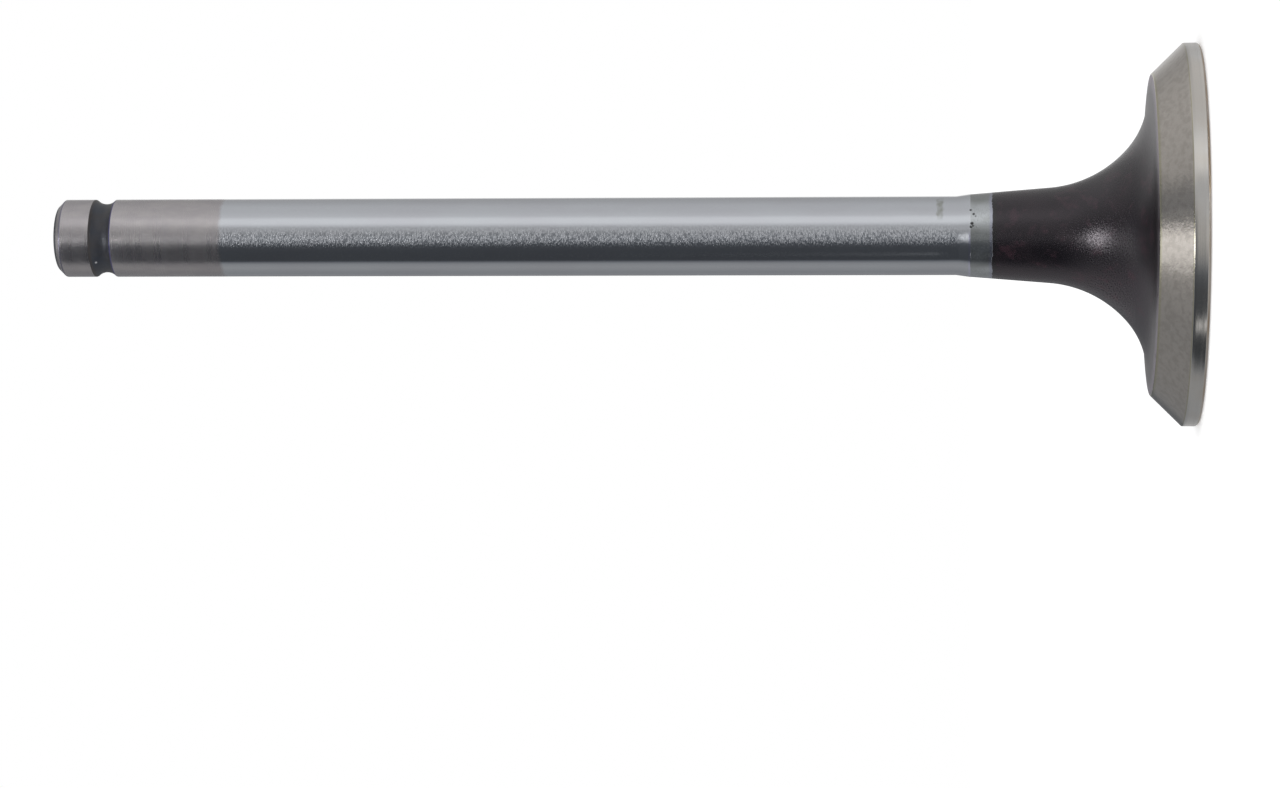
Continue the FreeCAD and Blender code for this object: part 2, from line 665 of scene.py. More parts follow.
@dataclass(frozen=True)
class StemFinish:
    """The stem: ground steel below the tip, then hard chrome down to the blackened skin of the neck."""

    plate_top: float = 98.62 * MM
    plate_end: float = 20.50 * MM
    step_height: float = 22.67 * MM
    chrome: Colour = (0.535, 0.555, 0.588)
    chrome_grey: Colour = (0.515, 0.525, 0.56)
    dull: Colour = (0.475, 0.498, 0.515)
    dull_grey: Colour = (0.40, 0.42, 0.425)
    ground: Colour = (0.418, 0.396, 0.409)
    ground_pale: Colour = (0.51, 0.487, 0.48)
    ground_grain_and_glint: Colour = (0.55, 0.53, 0.535)
    # Painted shade and painted glints: the dark and near-white flecks in the plating's colour
    fleck_shade: Colour = (0.20, 0.215, 0.24)
    fleck_glint: Colour = (0.95, 0.96, 1.0)
    stain: Colour = (0.155, 0.165, 0.095)
    grime_and_shade: Colour = (0.16, 0.165, 0.155)
    hole: Colour = (0.02, 0.02, 0.02)
    # A painted highlight: the light line along the step of the plating
    ledge_highlight: Colour = (0.62, 0.60, 0.80)
    lip: Colour = (0.36, 0.36, 0.50)
    # Bands across X, and the last one up the stem, in millimetres
    fleck_band: Quad = (-1.35, -0.6, 0.2, 1.3)
    dark_front: Quad = (-1.5, -0.6, 0.0, 1.6)
    # The next band is painted shade, on the -X side
    painted_shade_low: Quad = (-3.4, -2.9, -2.6, -2.1)
    smudge_side: Quad = (1.4, 2.1, 3.3, 3.95)
    smudge_rise: Quad = (25.25, 25.5, 25.9, 26.15)
    # The angle of each pit round the stem in degrees, and its height and radius in millimetres
    pits: tuple[Triple, ...] = (
        (-37.9, 22.65, 0.17), (-30.9, 22.35, 0.18), (-27.5, 22.15, 0.11), (-16.6, 22.52, 0.22),
        (-11.9, 22.62, 0.20), (-13.4, 22.42, 0.15), (-11.7, 22.07, 0.11), (-21.0, 21.95, 0.09))
    pit_reach: float = 4.15 * MM

    def dress(self, effects: Effects) -> bpy.types.Material:
        """Make the stem's material.

        Args:
            effects: The shared effects.

        Returns:
            The material.
        """
        kit = Surroundings.start("stem_finish", effects)
        bench = kit.bench
        bare_top = self.edge_at(kit, self.plate_top, (0.55, 0.22, 0.26))
        bright = self.edge_at(kit, self.plate_end, (0.22, 0.26, 0.05))
        clean = self.edge_at(kit, self.step_height, (0.06, 0.08, 0.05))
        flecks = bench.vector("MULTIPLY", kit.spot, (0.45, 0.45, 1.0))
        flecks = bench.step(bench.noise(flecks, 9300.0, detail=0.5), 0.28, 0.72)
        grain_and_glint = self.grain_and_glint_strength(kit)
        coarse = kit.grain(1700.0, 1.8, (1.0, 1.0, 0.8))
        lines, streaks = kit.lathe(kit.height, 0.11 * MM)
        burnt, burnt_roughness, burnt_grain = TulipFinish().burnt(kit)
        holes = self.pit_mask(kit)

        plating = kit.cloud(420.0, self.chrome, self.chrome_grey, 0.6, (1.0, 1.0, 0.35))
        # Painted shade and painted glints in the plating's grain, strongest in the band down the -Y side
        shaded = bench.times(bench.step(flecks, 0.55, 0.15, 0.0, 0.34), grain_and_glint)
        lit = bench.times(bench.step(flecks, 0.62, 0.92, 0.0, 0.18), grain_and_glint)
        plating = bench.blend(shaded, plating, self.fleck_shade)
        plating = bench.blend(lit, plating, self.fleck_glint)
        plating = bench.blend(self.smudge(kit), plating, self.stain)
        dulled = kit.cloud(760.0, self.dull, self.dull_grey, 0.85)
        specks = bench.times(bench.step(flecks, 0.45, 0.1), bench.mix(grain_and_glint, 0.1, 0.4))
        # Dark specks, with painted shade, on the dulled foot
        dulled = bench.blend(bench.most(specks, self.grime_and_shade_mask(kit)), dulled, self.grime_and_shade)
        bare = kit.cloud(900.0, self.ground, self.ground_pale, 0.42, (1.0, 1.0, 0.45))
        # Lighter grain in the ground steel, painted as glints mostly in the band down the -Y side
        bare = bench.blend(bench.times(coarse, bench.mix(grain_and_glint, 0.06, 0.5)), bare, self.ground_grain_and_glint)
        steel = bench.blend(clean, dulled, plating)
        steel = bench.blend(bare_top, steel, bare)
        steel = bench.blend(bench.times(holes, 0.93), steel, self.hole)
        # Painted highlight along the step
        steel = bench.blend(self.ledge_highlight_mask(kit, clean), steel, self.ledge_highlight)
        steel = bench.blend(bench.times(self.lip_mask(kit), 0.45), steel, self.lip)
        colour = bench.blend(bright, burnt, steel)

        pitted = bench.times(bench.step(flecks, 0.60, 0.88), grain_and_glint)
        roughness = bench.mix(clean, 0.25, bench.mix(pitted, 0.135, 0.33))
        roughness = bench.mix(bare_top, roughness, bench.mix(streaks, 0.26, 0.31))
        roughness = bench.mix(bright, burnt_roughness, roughness)

        grain_and_glint = bench.times(grain_and_glint, bench.mix(bare_top, 1.0, 0.5))
        dark = bench.math("SUBTRACT", 1.0, bright)
        normal = None
        for height, distance in (
                (bench.times(flecks, grain_and_glint), 8.0e-6), (bench.times(lines, bare_top), 0.5e-6),
                (bench.times(coarse, bare_top), 6.0e-6), (clean, 9.0e-6),
                (bench.times(burnt_grain, dark), 7.0e-6),
                (bench.math("SUBTRACT", 1.0, holes), 30.0e-6), (bright, 12.0e-6)):
            normal = kit.bump(height, distance, under=normal)
        kit.brush(0.2)
        return kit.finish(colour, bright, roughness, normal)

    def edge_at(self, kit: Surroundings, height: float, ragged: Triple) -> Socket:
        """A ragged border round the stem.

        Args:
            kit: The material's parts.
            height: Its height above the face, in metres.
            ragged: How far it drifts, how far its teeth reach and half its soft width, in millimetres.

        Returns:
            The mask of what lies above it.
        """
        place = kit.bench.vector("MULTIPLY", kit.spot, (1.0, 1.0, 0.12))
        return kit.border(kit.height, height, ragged, 2400.0, place)

    def lip_mask(self, kit: Surroundings) -> Socket:
        """The thin pale line along the foot of the bright steel.

        Args:
            kit: The material's parts.

        Returns:
            The mask.
        """
        low = self.edge_at(kit, self.plate_end - 0.02 * MM, (0.22, 0.26, 0.05))
        high = self.edge_at(kit, self.plate_end + 0.26 * MM, (0.22, 0.26, 0.14))
        return kit.bench.math("SUBTRACT", low, high, clamp=True)

    def ledge_highlight_mask(self, kit: Surroundings, clean: Socket) -> Socket:
        """The painted highlight along the step of the plating: a light line on its -X half.

        Args:
            kit: The material's parts.
            clean: The mask of what lies above the step.

        Returns:
            The mask.
        """
        bench = kit.bench
        above = self.edge_at(kit, self.step_height + 0.2 * MM, (0.06, 0.08, 0.1))
        east, _, _ = bench.split(kit.spot)
        line = bench.math("SUBTRACT", clean, above, clamp=True)
        return bench.times(line, bench.step(east, 0.9 * MM, -0.5 * MM, 0.0, 0.45))

    def grain_and_glint_strength(self, kit: Surroundings) -> Socket:
        """How strongly the plating's grain shows, in its bump and in its painted glints and painted shade:
        strongest in a band down the -Y side, faint elsewhere.

        Args:
            kit: The material's parts.

        Returns:
            The strength, from 0 to 1.
        """
        bench = kit.bench
        east, north, _ = bench.split(kit.spot)
        strip = bench.times(bench.band(east, self.fleck_band), bench.step(north, 0.0, -2.0 * MM))
        fading = bench.step(kit.height, 22.9 * MM, 25.0 * MM, 0.15, 1.0)
        return bench.times(bench.mix(strip, 0.05, 1.0), fading)

    def grime_and_shade_mask(self, kit: Surroundings) -> Socket:
        """Where the dulled foot of the plating is darkened: a soft patch in front, painted shade low on the
        -X side where the dark band reaches down, and a darker zone toward +X.

        Args:
            kit: The material's parts.

        Returns:
            The mask.
        """
        bench = kit.bench
        east, _, _ = bench.split(kit.spot)
        # Painted shade: the dark band carried lower on the -X side
        lower = bench.times(bench.band(east, self.painted_shade_low), 0.7)
        side = bench.most(bench.step(east, 2.7 * MM, 3.7 * MM), lower)
        return bench.most(bench.times(bench.band(east, self.dark_front), 0.5), bench.times(side, 0.6))

    def smudge(self, kit: Surroundings) -> Socket:
        """The faint olive smudge on the stem near the neck.

        Args:
            kit: The material's parts.

        Returns:
            The mask.
        """
        bench = kit.bench
        stray = bench.times(bench.math("SUBTRACT", bench.noise(kit.spot, 1500.0), 0.5), 0.5 * MM)
        rise = bench.band(bench.math("ADD", kit.height, stray), self.smudge_rise)
        east, north, _ = bench.split(kit.spot)
        side = bench.times(bench.band(east, self.smudge_side), bench.step(north, 0.0, -0.4 * MM))
        thin = bench.step(bench.noise(kit.spot, 2000.0), 0.32, 0.68, 0.22, 0.52)
        return bench.times(bench.times(rise, side), thin)

    def pit_mask(self, kit: Surroundings) -> Socket:
        """The small dark pits beside the step of the plating.

        Args:
            kit: The material's parts.

        Returns:
            The mask.
        """
        whole: Feed = 0.0
        for turn, height, radius in self.pits:
            angle = math.radians(turn)
            centre = (-self.pit_reach * math.sin(angle), -self.pit_reach * math.cos(angle), height * MM)
            whole = kit.bench.most(whole, kit.dot(centre, radius * MM))
        return whole


@dataclass(frozen=True)
class GrooveFinish:
    """The keeper groove: turned and heat-blued, with faint tool marks and one bare speck."""

    blue_black: Colour = (0.026, 0.031, 0.043)
    brown: Colour = (0.042, 0.034, 0.030)
    blue: Colour = (0.055, 0.05, 0.16)
    bare: Colour = (0.45, 0.45, 0.47)
    bare_speck: Triple = (-2.47 * MM, -2.64 * MM, 111.63 * MM)
    bare_radius: float = 0.17 * MM
    metal: float = 0.22

    def dress(self, effects: Effects) -> bpy.types.Material:
        """Make the groove's material.

        Args:
            effects: The shared effects.

        Returns:
            The material.
        """
        kit = Surroundings.start("groove_finish", effects)
        bench = kit.bench
        marks, streaks = kit.lathe(kit.height, 0.09 * MM)
        tone = kit.cloud(520.0, self.blue_black, self.brown, 0.45, (1.0, 1.0, 0.6))
        top_edge = bench.step(kit.height, 111.85 * MM, 112.1 * MM)
        colour = bench.blend(bench.times(top_edge, 0.6), tone, self.brown)
        foot_edge = bench.step(kit.height, 110.08 * MM, 109.95 * MM)
        colour = bench.blend(bench.times(foot_edge, 0.8), colour, self.blue)
        worn = kit.dot(self.bare_speck, self.bare_radius)
        colour = bench.blend(bench.times(worn, 0.8), colour, self.bare)
        return kit.finish(colour, self.metal, bench.mix(streaks, 0.40, 0.48), kit.bump(marks, 5.0e-6))


@dataclass(frozen=True)
class TipFinish:
    """The tip: a ground end, with the touch marks of a rocker arm's pad, inside a blued chamfer."""

    steel: Colour = (0.47, 0.46, 0.46)
    steel_dark: Colour = (0.36, 0.35, 0.355)
    ground: Colour = (0.34, 0.325, 0.335)
    blued: Colour = (0.075, 0.080, 0.095)
    lavender: Colour = (0.17, 0.165, 0.24)
    chamfer_foot: float = 115.2 * MM
    end_radius: float = 3.26 * MM

    def dress(self, effects: Effects) -> bpy.types.Material:
        """Make the tip's material.

        Args:
            effects: The shared effects.

        Returns:
            The material.
        """
        kit = Surroundings.start("tip_finish", effects)
        bench = kit.bench
        polish = kit.grain(2600.0, 1.4, (1.0, 0.12, 1.0))
        tone = kit.cloud(620.0, self.steel, self.steel_dark, 0.6)
        past_end = kit.border(kit.across, self.end_radius - 0.02 * MM, (0.12, 0.1, 0.04), 1500.0)
        rounding = bench.step(kit.across, self.end_radius + 0.12 * MM, self.end_radius + 0.4 * MM)
        chamfer = bench.blend(rounding, self.blued, self.ground)
        low_edge = bench.step(kit.height, self.chamfer_foot + 0.12 * MM, self.chamfer_foot)
        chamfer = bench.blend(bench.times(low_edge, 0.7), chamfer, self.lavender)
        colour = bench.blend(past_end, tone, chamfer)
        roughness = bench.mix(past_end, bench.mix(polish, 0.24, 0.34), 0.42)
        return kit.finish(colour, 1.0, roughness, kit.bump(polish, 1.6e-6))


@dataclass(frozen=True)
class SeatFinish:
    """The ground seat: an even grained grey, with a thin olive line at either edge."""

    steel: Colour = (0.525, 0.490, 0.452)
    shade: Colour = (0.440, 0.408, 0.372)
    olive: Colour = (0.42, 0.40, 0.27)
    # The share of light that it keeps at a low angle, where clean steel would turn white
    grazing: Colour = (0.84, 0.84, 0.84)
    foot: float = 1.58 * MM
    top: float = 4.704 * MM

    def dress(self, effects: Effects) -> bpy.types.Material:
        """Make the seat's material.

        Args:
            effects: The shared effects.

        Returns:
            The material.
        """
        kit = Surroundings.start("seat_finish", effects)
        bench = kit.bench
        marks, _ = kit.lathe(kit.height, 0.06 * MM)
        grit = kit.grain(2400.0, 1.5, (1.0, 1.0, 1.4))
        tone = kit.cloud(1500.0, self.steel, self.shade, 0.75)
        top_line = bench.step(kit.height, self.top - 0.30 * MM, self.top - 0.06 * MM)
        foot_line = bench.step(kit.height, self.foot + 0.16 * MM, self.foot + 0.04 * MM)
        colour = bench.blend(bench.times(bench.most(top_line, foot_line), 0.65), tone, self.olive)
        normal = kit.bump(grit, 6.0e-6, under=kit.bump(marks, 1.5e-6))
        kit.shader.inputs["Specular Tint"].default_value = (*self.grazing, 1.0)
        return kit.finish(colour, 1.0, bench.mix(grit, 0.15, 0.21), normal)


@dataclass(frozen=True)
class RimFinish:
    """The turned margin round the head, with fine level tool marks."""

    steel: Colour = (0.542, 0.532, 0.515)
    warm: Colour = (0.505, 0.47, 0.425)
    rust: Colour = (0.36, 0.27, 0.18)

    def dress(self, effects: Effects) -> bpy.types.Material:
        """Make the margin's material.

        Args:
            effects: The shared effects.

        Returns:
            The material.
        """
        kit = Surroundings.start("margin_finish", effects)
        bench = kit.bench
        marks, streaks = kit.lathe(kit.height, 0.045 * MM)
        tone = kit.cloud(170.0, self.steel, self.warm, 0.6)
        edge = bench.step(kit.height, 0.27 * MM, 0.2 * MM)
        patchy = bench.step(bench.noise(kit.spot, 140.0, detail=2.0), 0.42, 0.6, 0.45, 0.9)
        colour = bench.blend(bench.times(edge, patchy), tone, self.rust)
        roughness = bench.mix(edge, bench.mix(streaks, 0.15, 0.21), 0.42)
        return kit.finish(colour, 1.0, roughness, kit.bump(marks, 2.2e-6))


@dataclass(frozen=True)
class FaceFinish:
    """The face of the head: a bright ring faced on a lathe round a dish that is left as forged."""

    dish_radius: float = 10.9 * MM
    steel: Colour = (0.545, 0.515, 0.48)
    steel_cool: Colour = (0.57, 0.55, 0.545)
    scale_dark: Colour = (0.018, 0.016, 0.017)
    scale_brown: Colour = (0.030, 0.025, 0.017)
    scale_edge: Colour = (0.017, 0.015, 0.023)
    scale_pale: Colour = (0.105, 0.096, 0.078)
    glint: Colour = (0.36, 0.33, 0.25)
    stain: Colour = (0.16, 0.145, 0.14)
    stain_spot: Triple = (12.9 * MM, -6.2 * MM, 0.0)
    stain_radius: float = 0.5 * MM
    # Small nicks and bare dots: the place in millimetres along X and Y, the radius and the shade
    nicks: tuple[Quad, ...] = (
        (-3.5, 13.1, 0.20, 0.20), (-9.5, -8.4, 0.17, 0.24), (-11.3, -4.8, 0.17, 0.95),
        (-11.2, 1.5, 0.11, 0.14), (0.3, -17.8, 0.12, 0.2))
    # Lines on the ring and in the dish, through these places in millimetres
    hairline: tuple[Stop, ...] = ((16.0, -6.5), (15.7, -5.1), (14.2, -4.2), (13.3, -4.1), (11.1, -4.4))
    hairline_right: tuple[Stop, ...] = ((3.15, 13.2), (2.4, 13.5), (1.8, 15.2), (1.4, 16.1), (1.6, 16.8))
    scuff_low: tuple[Stop, ...] = ((-7.85, 0.9), (-7.8, 3.3))
    scuff: tuple[Stop, ...] = ((0.4, -6.9), (2.0, -5.9), (3.9, -4.1), (5.4, -1.6), (6.2, 0.2))

    def dress(self, effects: Effects) -> bpy.types.Material:
        """Make the face's material.

        Args:
            effects: The shared effects.

        Returns:
            The material.
        """
        kit = Surroundings.start("face_finish", effects)
        bench = kit.bench
        on_ring = kit.border(kit.across, self.dish_radius, (0.16, 0.42, 0.03), 3800.0)
        in_dish = bench.math("SUBTRACT", 1.0, on_ring)
        marks, _ = kit.lathe(kit.across, 0.30 * MM)
        forged = kit.grain(4200.0, 2.2)
        coarse = kit.grain(1200.0, 1.5)
        shine = self.shine_mask(kit)
        colour = bench.blend(on_ring, self.dish_colour(kit, forged, coarse, shine), self.ring_colour(kit))
        metallic = bench.mix(on_ring, bench.times(shine, 0.8), 1.0)
        roughness = bench.mix(on_ring, 0.55, bench.mix(marks, 0.27, 0.33))
        normal = None
        for height, distance in (
                (bench.times(marks, on_ring), 3.0e-6), (bench.times(forged, in_dish), 40.0e-6),
                (bench.times(coarse, in_dish), 60.0e-6), (on_ring, 18.0e-6)):
            normal = kit.bump(height, distance, under=normal)
        kit.brush(0.95)
        return kit.finish(colour, metallic, roughness, normal)

    def ring_colour(self, kit: Surroundings) -> Socket:
        """The colour of the ring, with its stains and nicks.

        Args:
            kit: The material's parts.

        Returns:
            The colour.
        """
        bench = kit.bench
        ring = kit.cloud(95.0, self.steel, self.steel_cool, 0.8)
        lines = bench.most(self.strokes(kit, self.hairline, 0.10 * MM, 0.5 * MM),
                           self.strokes(kit, self.hairline_right, 0.06 * MM, 0.45 * MM))
        patch = kit.dot(self.stain_spot, self.stain_radius, (1.0, 0.7, 1.0))
        broken = bench.step(bench.noise(kit.spot, 1500.0), 0.42, 0.58)
        stains = bench.most(bench.times(lines, 0.8), bench.times(patch, broken))
        ring = bench.blend(bench.times(stains, 0.75), ring, self.stain)
        for east, north, radius, shade in self.nicks:
            nick = kit.dot((east * MM, north * MM, 0.0), radius * MM)
            ring = bench.blend(bench.times(nick, 0.8), ring, (shade, shade * 0.96, shade * 0.94))
        return ring

    def dish_colour(self, kit: Surroundings, forged: Socket, coarse: Socket, shine: Socket) -> Socket:
        """The colour of the dish's forged skin.

        Args:
            kit: The material's parts.
            forged: The fine grain of the skin.
            coarse: Its coarse grain.
            shine: The mask of what is bare in it.

        Returns:
            The colour.
        """
        bench = kit.bench
        dish = kit.cloud(230.0, self.scale_dark, self.scale_brown, 0.85)
        reach = bench.math("ADD", kit.across, bench.times(coarse, 2.0 * MM))
        dish = bench.blend(bench.step(reach, 8.0 * MM, 11.5 * MM), dish, self.scale_edge)
        dish = bench.blend(bench.times(forged, bench.mix(coarse, 0.25, 0.6)), dish, self.scale_pale)
        return bench.blend(shine, dish, self.glint)

    def shine_mask(self, kit: Surroundings) -> Socket:
        """The bare flecks and scuffs in the dish.

        Args:
            kit: The material's parts.

        Returns:
            The mask.
        """
        bench = kit.bench
        spots = bench.noise(bench.vector("MULTIPLY", kit.spot, (1.0, 1.4, 1.0)), 5200.0, detail=1.0)
        scattered = bench.step(bench.noise(kit.spot, 260.0, detail=2.0), 0.46, 0.64)
        flecks = bench.times(bench.step(spots, 0.62, 0.73), bench.mix(scattered, 0.3, 1.0))
        scuffed = bench.most(self.strokes(kit, self.scuff, 0.12 * MM, 0.25 * MM),
                             self.strokes(kit, self.scuff_low, 0.10 * MM, 0.1 * MM))
        scuffed = bench.times(scuffed, bench.step(bench.noise(kit.spot, 2300.0), 0.4, 0.6))
        return bench.most(bench.times(flecks, 0.85), bench.times(scuffed, 0.5))

    def strokes(self, kit: Surroundings, points: Sequence[Stop], width: float, wander: float) -> Socket:
        """A hairline through several points of the face.

        Args:
            kit: The material's parts.
            points: The points, in millimetres along X and Y.
            width: Half the line's width, in metres.
            wander: How far it strays, in metres.

        Returns:
            The mask.
        """
        bench = kit.bench
        level = bench.join(*bench.split(kit.spot)[:2], 0.0)
        whole: Feed = 0.0
        for start, end in zip(points, points[1:]):
            one = bench.place(
                kit.effects.stroke, Place=level, Start=(start[0] * MM, start[1] * MM, 0.0),
                End=(end[0] * MM, end[1] * MM, 0.0), Width=width, Wander=wander).outputs["Mask"]
            whole = bench.most(whole, one)
        return whole


@dataclass
class ValveBody:
    """The valve, turned in one piece from its outline."""

    overall_length: float
    head_radius: float
    stem_radius: float
    dish_radius: float = 10.9 * MM
    dish_depth: float = 0.55 * MM
    face_chamfer: float = 0.25 * MM
    margin_height: float = 1.33 * MM
    seat_lean: float = math.radians(45.5)
    seat_width: float = 4.38 * MM
    cone_lean: float = math.radians(5.3)
    cone_width: float = 2.65 * MM
    change_lean: float = math.radians(48.2)
    radius_ratio: float = 0.741
    neck_taper: float = math.radians(4.6)
    neck_length: float = 8.07 * MM
    neck_swell: float = 0.19 * MM
    blend_height: float = 1.3 * MM
    tip_chamfer: float = 0.70 * MM
    groove_from_tip: float = 3.78 * MM
    groove_width: float = 2.14 * MM
    groove_depth: float = 0.46 * MM
    # How far the groove's finish and the tip's reach past their edges
    groove_lip: float = 0.08 * MM
    tip_lip: float = 0.112 * MM
    stem_zone_foot: float = 20.1 * MM
    turns: int = 256
    # How close to a turned edge a vertex lies that belongs to it
    near: float = 0.004 * MM
    # The turned edges, with how far their rounding reaches, in millimetres
    softened: tuple[tuple[str, float], ...] = (
        ("ring_outer", 0.05), ("margin_foot", 0.05), ("margin_top", 0.05), ("seat_top", 0.09),
        ("neck_top", 0.12), ("groove_foot", 0.07), ("groove_top", 0.07), ("chamfer_foot", 0.09),
        ("tip_edge", 0.06))
    name: str = "valve_body"
    pen: Stop = (0.0, 0.0)
    rings: dict[str, Stop] = field(default_factory=dict)

    @classmethod
    def from_frame(cls, frame: dict) -> "ValveBody":
        """Take the sizes that the frame gives.


        Returns:
            The valve, with the rest of its sizes as they are named above.
        """
        low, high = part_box(VALVE_NODE)
        guide = next(mount for mount in frame["record"]["mounts"] if mount["name"] == "guide_stem")
        return cls(
            overall_length=high.z - low.z, head_radius=(high.x - low.x) / 2,
            stem_radius=guide["dims"]["r_mm"] * MM)

    def build(self) -> bpy.types.Object:
        """Model the valve.

        Returns:
            The finished mesh, without its materials.
        """
        self.start_outline()
        self.draw_face()
        self.draw_rim()
        self.draw_tulip()
        self.draw_stem()
        self.turn_outline()
        for ring, offset in self.softened:
            self.soften(*self.rings[ring], offset * MM)
        bpy.ops.object.mode_set(mode="OBJECT")
        body = bpy.context.object
        bpy.ops.object.shade_smooth_by_angle(angle=math.radians(32.0))
        return body

    def start_outline(self) -> None:
        """Start the outline as a single vertex in the middle of the dish."""
        bpy.ops.object.select_all(action="DESELECT")
        bpy.ops.mesh.primitive_plane_add(size=MM, location=(0.0, 0.0, 0.0))
        bpy.context.object.name = self.name
        bpy.context.object.data.name = self.name
        bpy.ops.object.mode_set(mode="EDIT")
        bpy.ops.mesh.select_mode(type="VERT")
        bpy.ops.mesh.select_all(action="SELECT")
        bpy.ops.mesh.merge(type="CENTER")
        bpy.ops.transform.translate(value=(0.0, 0.0, self.dish_depth))
        self.pen = (0.0, self.dish_depth)

    def land(self, across: float, height: float, mark: str) -> None:
        """Set the pen down at the end of a stretch.

        Args:
            across: The end's distance from the axis.
            height: The end's height above the face.
            mark: The name to keep the end under, if it has one.
        """
        self.pen = (across, height)
        if mark:
            self.rings[mark] = self.pen

    def run(self, across: float, height: float, steps: int = 1, mark: str = "") -> None:
        """Draw a straight stretch of the outline.

        Args:
            across: The end's distance from the axis.
            height: The end's height above the face.
            steps: How many edges it has.
            mark: The name to keep the end under.
        """
        leg = ((across - self.pen[0]) / steps, 0.0, (height - self.pen[1]) / steps)
        for _ in range(steps):
            bpy.ops.mesh.extrude_vertices_move(TRANSFORM_OT_translate={"value": leg, "orient_type": "GLOBAL"})
        self.land(across, height, mark)

    def lean(self, width: float, angle: float, steps: int, mark: str = "") -> None:
        """Draw a straight stretch inward and up.

        Args:
            width: Its length.
            angle: How steeply it rises.
            steps: How many edges it has.
            mark: The name to keep the end under.
        """
        self.run(self.pen[0] - width * math.cos(angle), self.pen[1] + width * math.sin(angle), steps, mark)

    def sweep(self, centre: Stop, across: float, height: float, steps: int, mark: str = "") -> None:
        """Draw a round stretch of the outline, the short way about its centre.

        Args:
            centre: The centre of the arc, as distance from the axis and height.
            across: The end's distance from the axis.
            height: The end's height above the face.
            steps: How many edges it has.
            mark: The name to keep the end under.
        """
        start = math.atan2(self.pen[1] - centre[1], self.pen[0] - centre[0])
        end = math.atan2(height - centre[1], across - centre[0])
        turn = math.remainder(end - start, 2 * math.pi)
        bpy.ops.mesh.spin(steps=steps, angle=turn, center=(centre[0], 0.0, centre[1]), axis=(0.0, 1.0, 0.0))
        self.land(across, height, mark)

    def hollow(self, first: float, radius: float, last: float, steps: int) -> None:
        """Draw a hollow fillet from one lean to another.

        Args:
            first: The outline's lean from the axis at its start.
            radius: The fillet's radius.
            last: The lean at its end.
            steps: How many edges it has.
        """
        centre = (self.pen[0] + radius * math.cos(first), self.pen[1] + radius * math.sin(first))
        self.sweep(centre, centre[0] - radius * math.cos(last), centre[1] - radius * math.sin(last), steps)

    def draw_face(self) -> None:
        """Draw the dish and the ring round it."""
        sphere = (self.dish_radius**2 + self.dish_depth**2) / (2 * self.dish_depth)
        self.sweep((0.0, self.dish_depth - sphere), self.dish_radius, 0.0, steps=44)
        self.run(self.head_radius - self.face_chamfer, 0.0, steps=14, mark="ring_outer")

    def draw_rim(self) -> None:
        """Draw the chamfer, the margin, the seat and the back cone."""
        self.run(self.head_radius, self.face_chamfer, mark="margin_foot")
        self.run(self.head_radius, self.face_chamfer + self.margin_height, steps=4, mark="margin_top")
        self.lean(self.seat_width, self.seat_lean, steps=10, mark="seat_top")
        self.lean(self.cone_width, self.cone_lean, steps=6)

    def draw_tulip(self) -> None:
        """Draw the two tangent arcs from the back cone to the neck."""
        foot = self.stem_radius + self.neck_swell + self.neck_length * math.tan(self.neck_taper)
        first = math.pi / 2 - self.cone_lean
        lower_reach = math.cos(self.change_lean) - math.cos(first)
        upper_reach = math.cos(self.neck_taper) - math.cos(self.change_lean)
        upper = (self.pen[0] - foot) / (self.radius_ratio * lower_reach + upper_reach)
        self.hollow(first, self.radius_ratio * upper, self.change_lean, steps=20)
        self.hollow(self.change_lean, upper, self.neck_taper, steps=26)

    def draw_stem(self) -> None:
        """Draw the neck, the stem with its keeper groove, and the tip."""
        neck_top = self.pen[1] + self.neck_length
        self.run(self.stem_radius + self.neck_swell, neck_top, steps=12, mark="neck_top")
        self.run(self.stem_radius, neck_top + self.blend_height, steps=4)
        groove_top = self.overall_length - self.groove_from_tip
        groove_foot = groove_top - self.groove_width
        self.run(self.stem_radius, groove_foot, steps=44, mark="groove_foot")
        half = self.groove_width / 2
        radius = (half**2 + self.groove_depth**2) / (2 * self.groove_depth)
        centre = (self.stem_radius - self.groove_depth + radius, groove_foot + half)
        self.sweep(centre, self.stem_radius, groove_top, steps=14, mark="groove_top")
        self.run(self.stem_radius, self.overall_length - self.tip_chamfer, steps=4, mark="chamfer_foot")
        self.run(self.stem_radius - self.tip_chamfer, self.overall_length, steps=2, mark="tip_edge")
        self.run(0.0, self.overall_length, steps=8)

    def turn_outline(self) -> None:
        """Turn the outline about the valve's axis and close its seam and poles."""
        bpy.ops.mesh.select_all(action="SELECT")
        bpy.ops.mesh.spin(steps=self.turns, angle=2 * math.pi, center=(0.0, 0.0, 0.0), axis=(0.0, 0.0, 1.0))
        bpy.ops.mesh.select_all(action="SELECT")
        bpy.ops.mesh.remove_doubles(threshold=1e-6)
        bpy.ops.mesh.normals_make_consistent(inside=False)

    def soften(self, across: float, height: float, offset: float) -> None:
        """Round off one of the turned edges.

        Args:
            across: The edge's distance from the axis.
            height: Its height above the face.
            offset: How far the rounding reaches from the edge.
        """
        bpy.ops.mesh.select_mode(type="EDGE")
        bpy.ops.mesh.select_all(action="DESELECT")
        bpy.ops.object.mode_set(mode="OBJECT")
        mesh = bpy.context.object.data
        on_ring = [
            abs(math.hypot(spot.co.x, spot.co.y) - across) < self.near and abs(spot.co.z - height) < self.near
            for spot in mesh.vertices]
        for edge in mesh.edges:
            edge.select = all(on_ring[index] for index in edge.vertices)
        bpy.ops.object.mode_set(mode="EDIT")
        bpy.ops.mesh.bevel(offset=offset, segments=3, profile=0.5, affect="EDGES")

